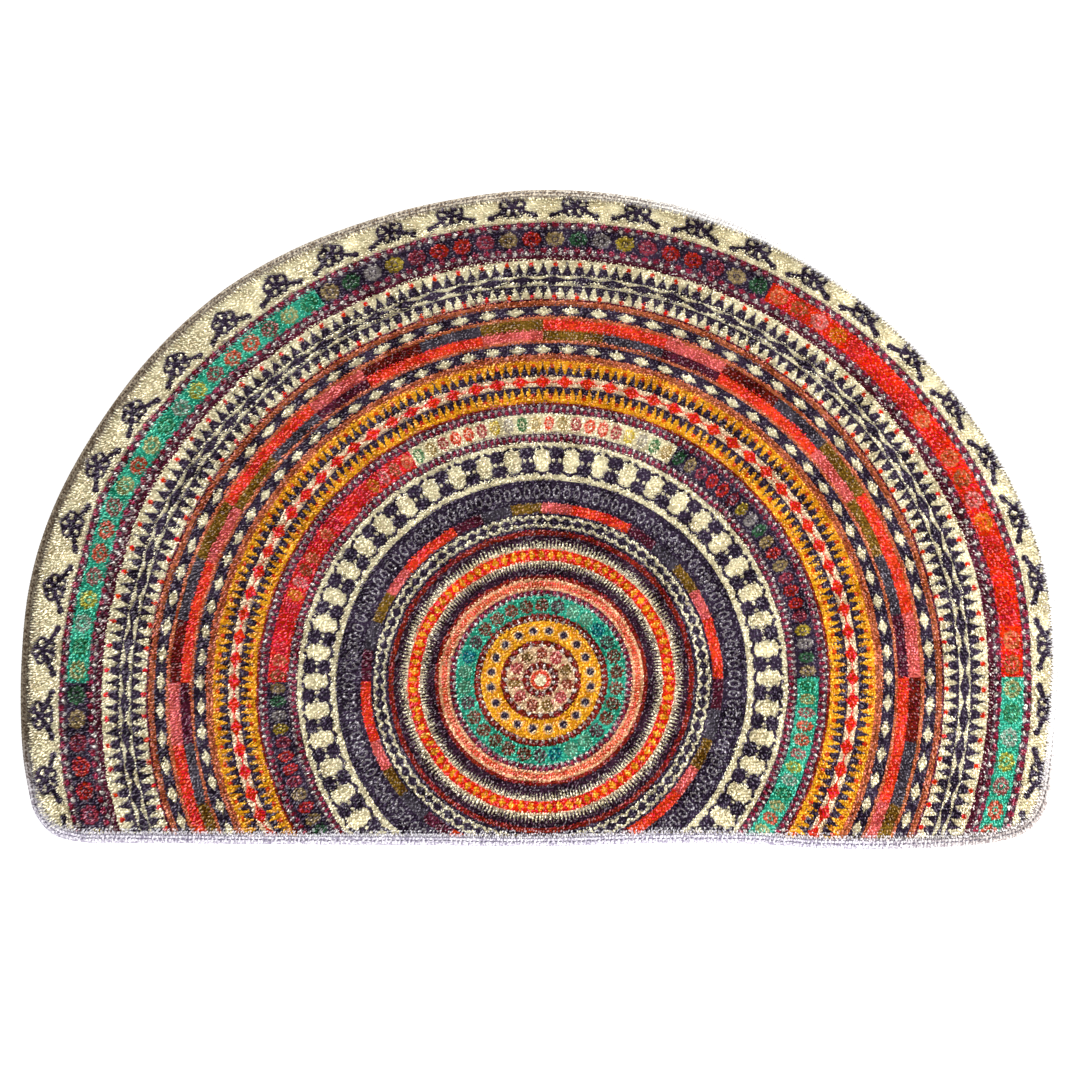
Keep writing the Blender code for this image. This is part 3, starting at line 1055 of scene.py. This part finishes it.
class Print:
    """Draws the printed rings of the rug in one material."""

    def __init__(self, paint, dyes):
        self.paint = paint
        self.dyes = dyes
        x, y, self.height = paint.attribute("print_spot")
        self.tone, self.spread, self.chance = paint.attribute("tuft_tone")
        self.depth, self.side, self.front = paint.attribute("edge_spot")
        self.radius = self.oval(x, y)
        self.bearing = paint.math("ARCTAN2", y, x) * math.degrees(1)
        self.arc = self.radius * math.radians(1)
        self.far = self.radius > FAR
        self.stroke = self.bearing.to_repeat(0, STROKE_TURN)
        self.rosette = self.bearing.to_repeat(ROSETTE_TURN / 2, ROSETTE_TURN)
        self.colour = None

    def dye(self, name):
        """A dye of the property group as the renderer takes it."""
        return linear(getattr(self.dyes, name))

    def nearest(self, *centres):
        """Distance outwards from the nearest of the centre radii, which go from small to large."""
        centre = centres[0]
        for before, after in zip(centres, centres[1:]):
            centre = (self.radius > (before + after) / 2).times_plus(after - before, centre)
        return self.radius - centre

    def lay(self, mask, name):
        """Prints a dye, by name or as a colour link, where the mask is 1."""
        colour = self.dye(name) if isinstance(name, str) else name
        self.colour = self.paint.mix(mask, self.colour, colour)

    def by_radius(self, first, *changes):
        """A number or dye that changes at certain radii: pairs of radius and the next one."""
        picked = self.dye(first) if isinstance(first, str) else first
        for limit, following in changes:
            if isinstance(following, str):
                picked = self.paint.mix(self.radius > limit, picked, self.dye(following))
            else:
                picked = self.paint.mix_value(self.radius > limit, picked, following)
        return picked

    def one_over(self, first, *changes):
        """One over a size that changes at certain radii."""
        return self.by_radius(1 / first, *((limit, 1 / size) for limit, size in changes))

    def oval(self, across, up):
        """Distance from a spot's middle, 1 at its edge."""
        return self.paint.math("SQRT", (across * across).plus_square(up))

    def flower(self, across, up, middle=0.69, band=0.28):
        """Mask of a small rosette: a ring of eight soft petals round a dark gap and a middle spot."""
        ring = self.oval(across, up)
        wave = self.paint.math("COSINE", self.paint.math("ARCTAN2", up, across) * 8)
        petals = abs(wave.times_plus(-0.05, ring) - middle).below(band, 0.16)
        petals = petals * wave.times_plus(0.2, 0.85)
        speckle = self.spread.times_plus(0.9, 0.45)
        return petals.most(ring.below(0.22, 0.14)).clamped(speckle)

    def ground(self):
        """Plain rings, in several ramps so that the edges stay sharp."""
        place = self.radius.within(RING_SPAN) / RING_SPAN
        picked = None
        for part in range(RING_RAMPS):
            low, high = part * RING_SPAN, (part + 1) * RING_SPAN
            stops, start = [], 0.0
            for outer, name in RINGS:
                if outer > low and start < high:
                    stops.append((max(0, start - low) / RING_SPAN, self.dye(name)))
                start = outer
            ramp = self.paint.ramp(place, stops)
            picked = ramp if picked is None else self.paint.mix(self.radius > low, picked, ramp)
        self.colour = picked

    def even_ramp(self, value, names, step, span):
        """Dyes that change after each step of a value; the span is what the ramp covers."""
        stops = [(k * step / span, self.dye(name)) for k, name in enumerate(names)]
        return self.paint.ramp(value / span, stops)

    def blocks(self):
        """Three rows of plain colour blocks."""
        turn = self.bearing.within(BLOCK_REPEAT)
        narrow, inner, outer = (self.even_ramp(turn, names, BLOCK_TURN, BLOCK_SPAN)
                                for names in (BLOCKS_NARROW, BLOCKS_INNER, BLOCKS_OUTER))
        colour = self.paint.mix(self.radius > 200, narrow, inner)
        colour = self.paint.mix(self.radius > 261.2, colour, outer)
        half = self.by_radius(3.7, (200, 7.8))
        self.lay(half > abs(self.nearest(*BLOCK_ROWS)), colour)

    def rosettes(self):
        """Two borders of small rosettes on grounds that change by segment."""
        turn = self.bearing.within(360) / SEGMENT_SPAN
        inner, outer = (
            self.paint.ramp(turn, [(start / SEGMENT_SPAN, self.dye(name))
                                   for start, name in zip(ROSETTE_GROUND_STARTS, names)])
            for names in (ROSETTE_GROUND_INNER, ROSETTE_GROUND_OUTER))
        ground = self.paint.mix(self.far, inner, outer)
        off = self.nearest(*ROSETTE_ROWS)
        self.lay(abs(off).below(7.5, 0.2), ground)
        turn = self.bearing.within(BLOCK_REPEAT)
        turn = self.paint.mix_value(self.far, BLOCK_REPEAT - turn, turn)
        colour = self.even_ramp(turn, ROSETTES, ROSETTE_TURN, BLOCK_SPAN)
        # The ground shows through the rosettes, most on the red grounds and least on the cream one
        red, green, _ = self.paint.node("ShaderNodeSeparateColor", None, {0: ground}).outputs
        warm = self.paint.math("SUBTRACT", red, green, clamp=True)
        share = warm.times_plus(0.2, self.paint.math("MULTIPLY_ADD", green, -0.24, 0.26))
        self.lay(self.flower(self.rosette / 1.2, off / 5.8), self.paint.mix(share, colour, ground))

    def beads(self):
        """Rows of round red beads with pale points between them."""
        off = self.nearest(*BEAD_ROWS) * self.by_radius(1.0, (120, -1.0), (FAR, 1.0))
        phases = [self.bearing.to_repeat(start, turn) * (2 / turn) for start, turn in BEAD_TURNS]
        phase = self.by_radius(phases[0], *zip(BEAD_CHANGES, phases[1:]))
        bead = self.oval(phase / 0.62, (off - 0.9) / 2.1)
        self.lay(bead.below(0.9, 0.3), self.by_radius("dark_red", (54, "bead_red")))
        point = (1 - phase).times_plus(1 / 0.45, abs(off + 1.2) / 1.95)
        self.lay(point.below(0.95, 0.3), "bead_white")
        flecks = abs(self.radius - FLECK_ROW).below(1.6, 1) * self.chance.times_plus(2.6, -1.3)
        self.lay(flecks.clamped(0.5), "bead_white")

    def sawtooth(self):
        """Two pairs of borders with dark teeth, every second one topped by a red dot."""
        rise = abs(self.nearest(*TOOTH_ROWS)) - 3.9
        tall = self.bearing.to_repeat(90, TOOTH_TURN)
        short = TOOTH_TURN / 2 - tall
        # Tall teeth on a plain strip, their long thin points, and the short teeth between them
        teeth = rise.times_plus(0.095, tall).below(0.84, 0.12).most(rise.below(1.4, 0.4))
        teeth = teeth.most(rise.times_plus(0.0255, tall).below(0.34, 0.08) * (9.8 - rise > 0))
        teeth = teeth.most(rise.times_plus(0.062, short).below(0.86, 0.12) * (7.0 - rise > 0))
        self.lay(teeth * (rise > 0), "navy")
        up = rise - self.paint.mix_value(self.far, 8.1, 8.8)
        wide = self.one_over(1.7, (FAR, 1.75))
        dot = self.oval(short * self.arc * wide, up * wide)
        self.lay(dot.below(1.0, 0.25), self.by_radius("orange_red", (FAR, "red")))

    def lozenges(self):
        """Rows of pointed ovals and dots, 84 in a full turn."""
        off = abs(self.nearest(*LOZENGE_ROWS))
        across = self.bearing.to_repeat(90, LOZENGE_TURN)
        wide = self.one_over(1.6, (100, 2.5), (200, 1.85), (235, 1.5))
        high = self.one_over(3.8, (100, 3.6), (200, 4.6), (235, 3.3))
        shape = across * wide + off * high
        link = off.below(0.5, 0.4) * abs(self.radius - 222).below(12, 1)
        colour = self.by_radius("bright_yellow", (100, "navy"), (200, "strong_red"), (235, "cream"))
        self.lay(shape.below(1, 0.16).most(link), colour)
        gap = (LOZENGE_TURN / 2 - across).times_plus(1 / 1.15, abs(off - 5.6) / 3.2)
        self.lay(gap.below(1.0, 0.4) * abs(self.radius - LOZENGE_ROWS[1]).below(5.4, 0.3), "navy")

    def waves(self):
        """Double pale lines that part round dark lozenges."""
        off = abs(self.radius - TOOTH_ROWS[1])
        across = self.bearing.to_repeat(88.65, LOZENGE_TURN)
        line = across.times_plus(-0.6, abs(across.times_plus(0.75, off) - 3.75))
        self.lay(line.below(0.22, 0.45) * (off < 4.0), "cream")

    def chain(self):
        """Pale oval outlines on the navy ring."""
        ring = self.oval(self.rosette * self.arc / 2.5, (self.radius - CHAIN_ROW) / 4.5)
        self.lay(abs(ring - 0.84).below(0.17, 0.12) * 0.48, "fleck")

    def combs(self):
        """Fine pale strokes on both sides of the red ring, and in the coral ring."""
        rise = abs(self.radius - 91.4) - self.by_radius(3.4, (91.4, 4.4))
        # The red ring itself stays free
        comb = rise.times_plus(0.105, self.stroke).below(0.72, 0.2)
        self.lay(comb * (abs(self.radius - 91.5) > 4.3), "cream")
        coral = abs(self.radius - STROKE_ROW).below(3.2, 0.6)
        self.lay(self.stroke.below(0.3, 0.2) * coral * 0.75, "coral_edge")

    def blossoms(self):
        """Plain five-petalled blossoms on spread stems, single in the outer border, paired in the inner."""
        off = abs(self.radius - PAIR_ROW)
        up = self.paint.mix_value(self.far, (5.4 - off) / 0.58, self.radius - BLOSSOM_ROW)
        across = self.bearing.to_repeat(93.75, BLOSSOM_TURN) * self.arc * self.one_over(0.55, (FAR, 1.0))
        ring = self.oval(across / 10.4, up / 9.3)
        petal = self.paint.math("COSINE", (self.paint.math("ARCTAN2", up, across) - math.pi / 2) * 5)
        stem = abs(across.times_plus(0.45, up) + 0.4).below(2.1, 0.7) * across.below(17.0, 1)
        bud = self.oval(across - 16.4, up + 7.6).below(2.6, 0.7)
        joined = across.below(8.0, 1) * off.below(5.0, 0.6)
        head = petal.times_plus(-0.07, ring).below(0.98, 0.12)
        self.lay(head.most(stem).most(bud).most(joined), "navy")
        spots = abs(ring - 0.56).below(0.2, 0.14) * petal.times_plus(2.4, -0.9) * self.far
        dots = self.oval(across - 4.3, off * 1.6).below(2.2, 0.8)
        self.lay(self.paint.math("MAXIMUM", spots, dots, clamp=True), "cream")

    def middle(self):
        """Dots in the yellow ring and rosettes in the teal ring and round the middle."""
        dot = self.oval(self.bearing.to_repeat(9, DOT_TURN) * self.arc / 3.0, (self.radius - DOT_ROW) / 2.9)
        self.lay(dot.below(1.28, 0.25) * 0.7, "pale_cream")
        self.lay(dot.below(0.92, 0.25), "navy")
        near = self.radius < NEAR
        across = self.paint.mix_value(near, self.bearing.to_repeat(5.4, TEAL_TURN),
                                      self.bearing.to_repeat(55.8, SMALL_ROSETTE_TURN))
        across = across * self.arc * self.one_over(4.4, (NEAR, 4.9))
        up = self.radius - self.by_radius(SMALL_ROSETTE_ROW, (NEAR, TEAL_ROW))
        flower = self.flower(across, up * self.one_over(4.4, (NEAR, 5.0)), 0.63, 0.37)
        # The colours change halfway between two rosettes
        turn = (self.bearing - 35.4).within(TEAL_REPEAT)
        teal = self.even_ramp(turn, TEAL_ROSETTES, TEAL_TURN, TEAL_SPAN)
        small = self.even_ramp(self.bearing.within(98.2), SMALL_ROSETTES, 32.7, TEAL_SPAN)
        self.lay(flower, self.paint.mix(near, teal, small))

    def cords(self):
        """Twisted dark strands on the rust cords."""
        off = self.nearest(*CORD_ROWS)
        strand = off.times_plus(0.28, self.bearing).to_repeat(0, STROKE_TURN).below(0.2, 0.25) * 0.42
        dark = strand.most(abs(off).below(0.45, 0.4) * 0.6)
        self.lay(dark * abs(off).below(2.5, 0.3), "rust_dark")

    def strand_tones_and_painted_light(self):
        """Painted shade on tufts, in patches and towards each root, painted highlights, and a random hue."""
        # Painted shade: tufts darken at random, in soft patches and towards their roots, to a deeper, dimmer
        # copy of their dye
        patch = self.paint.noise(60.0, 1.0).times_plus(2.2, -2.35)
        dark = self.tone.times_plus(STRAND_SHADE, patch) + self.height.times_plus(-0.7, 0.4)
        sockets = {"Color": self.colour, "Gamma": SHADE_POWER}
        shade = self.paint.node("ShaderNodeGamma", None, sockets).outputs[0]
        shade = self.paint.mix(1.0, shade, SHADE, "MULTIPLY")
        self.colour = self.paint.mix(dark.clamped(), self.colour, shade)
        # Painted highlight: some tufts are lit up to a brighter, paler copy of their dye
        painted_highlight = self.paint.mix(1.0, self.colour, HIGHLIGHT_GAIN, "MULTIPLY")
        painted_highlight = self.paint.mix(0.5, painted_highlight, self.dye("fleck"))
        highlight_share = self.chance.times_plus(1.1, -0.62, clamp=True)
        self.colour = self.paint.mix(highlight_share, self.colour, painted_highlight, "ADD")
        # Painted highlight: the outermost tips at the front and on the right pale towards white, where the
        # light falls
        facing = (self.side * -0.8).most(self.front).times_plus(1.5, -0.35, clamp=True)
        painted_rim_highlight = (self.depth + self.spread * 5.0).below(5.2, 3.0) * facing
        self.lay(painted_rim_highlight * 0.9, "fleck")
        sockets = {"Hue": self.spread.times_plus(0.03, 0.485), "Color": self.colour}
        return self.paint.node("ShaderNodeHueSaturation", None, sockets).outputs[0]


def printed_pile(dyes):
    """Material of the printed tufts."""
    paint = Paint("printed_pile")
    rug = Print(paint, dyes)
    rug.ground()
    rug.blocks()
    rug.combs()
    rug.blossoms()
    rug.rosettes()
    rug.beads()
    rug.sawtooth()
    rug.lozenges()
    rug.waves()
    rug.chain()
    rug.cords()
    rug.middle()
    colour = rug.strand_tones_and_painted_light()
    paint.shader.inputs["Sheen Weight"].default_value = 0.02
    paint.shader.inputs["Sheen Roughness"].default_value = 0.6
    paint.shader.inputs["Specular IOR Level"].default_value = 0.03
    strands = paint.bump(0.35, 0.0002, paint.noise(1800.0, 2.0))
    return paint.finish(colour, rug.tone.times_plus(0.14, 0.8), strands)


# Cloth back and threads

def woven_back(dyes):
    """Material of the cloth under the pile: a plain weave of coarse yarns."""
    paint = Paint("woven_back")
    x, y, _ = paint.split(paint.place())
    x, y = x * (1000 / YARN), y * (1000 / YARN)
    over = (paint.math("FLOOR", x) + paint.math("FLOOR", y)).within(2) > 0.5
    warp = paint.math("SINE", x.within(1) * math.pi)
    weft = paint.math("SINE", y.within(1) * math.pi)
    yarn = paint.mix_value(over, warp * weft.times_plus(0.4, 0.6), weft * warp.times_plus(0.4, 0.6))
    # Painted shade: the yarns darken towards their edges and the gaps between them; the noise varies their
    # tone at random
    tone = paint.noise(900.0, 3.0).times_plus(0.5, yarn * 0.5)
    colour = paint.mix(tone, linear(dyes.back_shade), linear(dyes.back))
    return paint.finish(colour, tone.times_plus(-0.12, 0.97), paint.bump(0.8, 0.0004, tone))


def around(paint, dyes, turn, tones):
    """A thread colour that changes round the rim, partly as painted light; the turn starts at the front."""
    stops = [((spot + 90) / 360, linear(getattr(dyes, name))) for spot, name in tones]
    return paint.ramp(turn / 360, stops, "LINEAR")


def overlock_thread(dyes, name, tones, pitch, contrast):
    """Material of the binding's threads, greige at the back left and white at the front and right: partly
    their own colour, partly painted light.
    """
    paint = Paint(name)
    x, y, depth = paint.attribute("rim_spot")
    along, _, tone = paint.attribute("thread_spot")
    turn = paint.math("ARCTAN2", y, x).times_plus(math.degrees(1), 90).within(360)
    # Dark flecks, darker single threads and rows, and painted shade in the grooves between the wraps
    strand = (depth * 0.45 + along).to_repeat(0, pitch) * (2 / pitch)
    row = paint.math("SINE", depth * (2 * math.pi / 1.7))
    speck = paint.noise(620.0, 2.0).times_plus(5.0, -2.2)
    dark = (speck + strand * 0.3 + tone.times_plus(1.6, -0.9).most(0.0) + row * 0.12) * contrast
    dark = dark.clamped()
    colour = around(paint, dyes, turn, tones)
    fleck_and_groove_shade = paint.mix(1.0, colour, around(paint, dyes, turn, FLECK_SHADE_TONES), "MULTIPLY")
    relief = paint.noise(1500.0, 2.0).times_plus(0.5, strand * -0.8)
    paint.shader.inputs["Specular IOR Level"].default_value = 0.3
    return paint.finish(paint.mix(dark, colour, fleck_and_groove_shade), dark.times_plus(0.12, 0.76),
                        paint.bump(0.7, 0.0004, relief))


# Stage

# The camera: its place from the print's middle on the pile, in metres, and the axes of the photo's view
PILE_HEIGHT = 0.008
CAMERA_RIGHT = 0.139
CAMERA_FRONT = 0.305
CAMERA_HEIGHT = 1.793
VIEW_BACK = (0.0759, -0.2207, 0.9724)
VIEW_RIGHT = (0.9971, 0.006, -0.0763)
SENSOR = 36

FLOOR_HALF = 6.0
FLOOR_GLOW = 0.6


def light(name, power, size, place, target, colour):
    """A soft square lamp that faces its target."""
    lamp = bpy.data.lights.new(name, "AREA")
    lamp.energy = power
    lamp.size = size
    lamp.color = colour
    obj = bpy.data.objects.new(name, lamp)
    obj.location = place
    obj.rotation_euler = (Vector(target) - Vector(place)).to_track_quat("-Z", "Y").to_euler()
    bpy.context.scene.collection.objects.link(obj)


def make_camera(stage):
    """The photo's view: from above the front edge and a little to the right."""
    data = bpy.data.cameras.new("camera")
    data.lens = stage.lens
    data.sensor_width = SENSOR
    camera = bpy.data.objects.new("camera", data)
    centre = print_centre() * MM
    place = Vector((centre[0] + CAMERA_RIGHT, centre[1] - CAMERA_FRONT, PILE_HEIGHT + CAMERA_HEIGHT))
    back = Vector(VIEW_BACK).normalized()
    right = Vector(VIEW_RIGHT)
    right = (right - back * right.dot(back)).normalized()
    up = back.cross(right)
    camera.matrix_world = Matrix(((right.x, up.x, back.x, place.x), (right.y, up.y, back.y, place.y),
                                  (right.z, up.z, back.z, place.z), (0, 0, 0, 1)))
    bpy.context.scene.collection.objects.link(camera)
    bpy.context.scene.camera = camera


def make_floor(dyes):
    """The plain pale floor."""
    mesh = bpy.data.meshes.new("floor")
    half = FLOOR_HALF
    corners = [(-half, -half, 0), (half, -half, 0), (half, half, 0), (-half, half, 0)]
    mesh.from_pydata(corners, [], [(0, 1, 2, 3)])
    floor = bpy.data.objects.new("floor", mesh)
    bpy.context.scene.collection.objects.link(floor)
    paint = Paint("floor_paint")
    paint.shader.inputs["Emission Color"].default_value = (1, 1, 1, 1)
    paint.shader.inputs["Emission Strength"].default_value = FLOOR_GLOW
    floor.data.materials.append(paint.finish(linear(dyes.floor), 0.9))


# Operators

class RUG_OT_stage(bpy.types.Operator):
    """Adds the floor, the lights and the camera"""

    bl_idname = "rug.stage"
    bl_label = "Stage"

    def execute(self, context):
        scene = context.scene
        stage = scene.rug_stage
        make_camera(stage)
        make_floor(scene.rug_dyes)
        light("key", stage.key, 1.0, (1.9, -0.7, 1.7), (0.1, 0, 0), (1, 0.97, 0.93))
        light("fill", stage.fill, 1.6, (-1.6, 1.0, 1.8), (0, 0, 0), (0.94, 0.97, 1))
        scene.world = scene.world or bpy.data.worlds.new("world")
        scene.world.use_nodes = True
        background = scene.world.node_tree.nodes["Background"]
        background.inputs["Color"].default_value = (1, 1, 1, 1)
        background.inputs["Strength"].default_value = stage.sky
        scene.view_settings.view_transform = "Standard"
        return {"FINISHED"}


class RUG_OT_pile(bpy.types.Operator):
    """Makes the printed pile and the cloth that it stands on"""

    bl_idname = "rug.pile"
    bl_label = "Printed pile cloth"

    def execute(self, context):
        sizes, dyes = context.scene.rug_pile, context.scene.rug_dyes
        rim = smooth_ring(rim_points(), RIM_POINTS)
        printed = printed_pile(dyes)
        strips = make_pile(sizes, rim, printed)
        strips.append(make_body(sizes, smooth_ring(rim, BODY_POINTS), printed))
        cloth = make_cloth(sizes, smooth_ring(rim, CLOTH_POINTS), woven_back(dyes))
        for piece in [cloth] + strips:
            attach(piece, "root")
            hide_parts(PILE_NODE)
        return {"FINISHED"}


class RUG_OT_binding(bpy.types.Operator):
    """Makes the overlocked binding round the rim"""

    bl_idname = "rug.binding"
    bl_label = "Overlocked binding"

    def execute(self, context):
        rim = smooth_ring(rim_points(), RIM_POINTS)
        dyes = context.scene.rug_dyes
        laid = overlock_thread(dyes, "laid_thread", BINDING_TONES, 1.2, 1.0)
        wound = overlock_thread(dyes, "wound_thread", BINDING_TONES, 0.8, 0.7)
        chain = overlock_thread(dyes, "chain_thread", CHAIN_TONES, 0.8, 0.6)
        for piece in make_binding(context.scene.rug_binding, rim, laid, wound, chain):
            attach(piece, "root")
            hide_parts(BINDING_NODE)
        return {"FINISHED"}


class RUG_PT_panel(bpy.types.Panel):
    """Lists the rug's operators"""

    bl_label = "Half-moon rug"
    bl_idname = "RUG_PT_panel"
    bl_space_type = "VIEW_3D"
    bl_region_type = "UI"
    bl_category = "Rug"

    def draw(self, context):
        for operator in OPERATORS:
            self.layout.operator(operator.bl_idname)
        for group in ("rug_pile", "rug_binding", "rug_dyes", "rug_stage"):
            box = self.layout.box()
            settings = getattr(context.scene, group)
            for name in settings.__annotations__:
                box.prop(settings, name)


GROUPS = {
    "rug_pile": RugPileSizes,
    "rug_binding": RugBindingSizes,
    "rug_dyes": RugDyes,
    "rug_stage": RugStage,
}
OPERATORS = (RUG_OT_stage, RUG_OT_pile, RUG_OT_binding)


def register():
    for cls in (*GROUPS.values(), *OPERATORS, RUG_PT_panel):
        bpy.utils.register_class(cls)
    for name, cls in GROUPS.items():
        setattr(bpy.types.Scene, name, PointerProperty(type=cls))


def unregister():
    for name in GROUPS:
        delattr(bpy.types.Scene, name)
    for cls in (RUG_PT_panel, *OPERATORS, *GROUPS.values()):
        bpy.utils.unregister_class(cls)


def main():
    register()
    bpy.ops.rug.stage()
    bpy.ops.rug.binding()
    bpy.ops.rug.pile()


if __name__ == "__main__":
    main()
